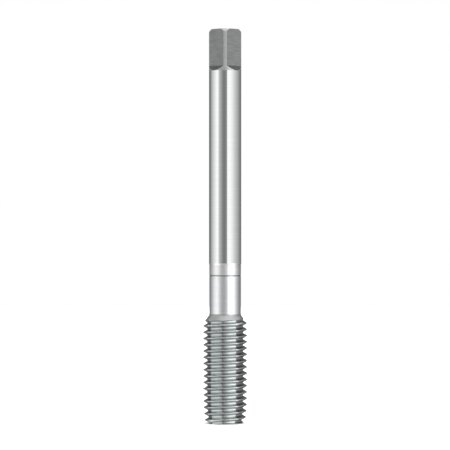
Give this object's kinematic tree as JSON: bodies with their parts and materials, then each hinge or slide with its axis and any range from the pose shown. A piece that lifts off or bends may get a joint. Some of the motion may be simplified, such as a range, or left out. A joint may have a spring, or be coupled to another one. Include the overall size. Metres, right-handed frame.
{
  "type": "thread forming tap",
  "caption": "Round steel tool with a lobed forming thread at the front, a narrower neck, a plain ground shank and a driving square.",
  "frame": {"origin": "on the tap's axis, in the middle of its front face, on which it stands", "axes": "+Z along the axis from the threaded front end up to the driving square, -Y towards the side that the picture shows, with one corner of the square in the middle"},
  "size_m": [0.0124, 0.0124, 0.11],
  "materials": {
    "tool_steel": "ground"
  },
  "bodies": {
    "root": {"thread_forming_tap": "tool_steel"}
  },
  "joints": []
}
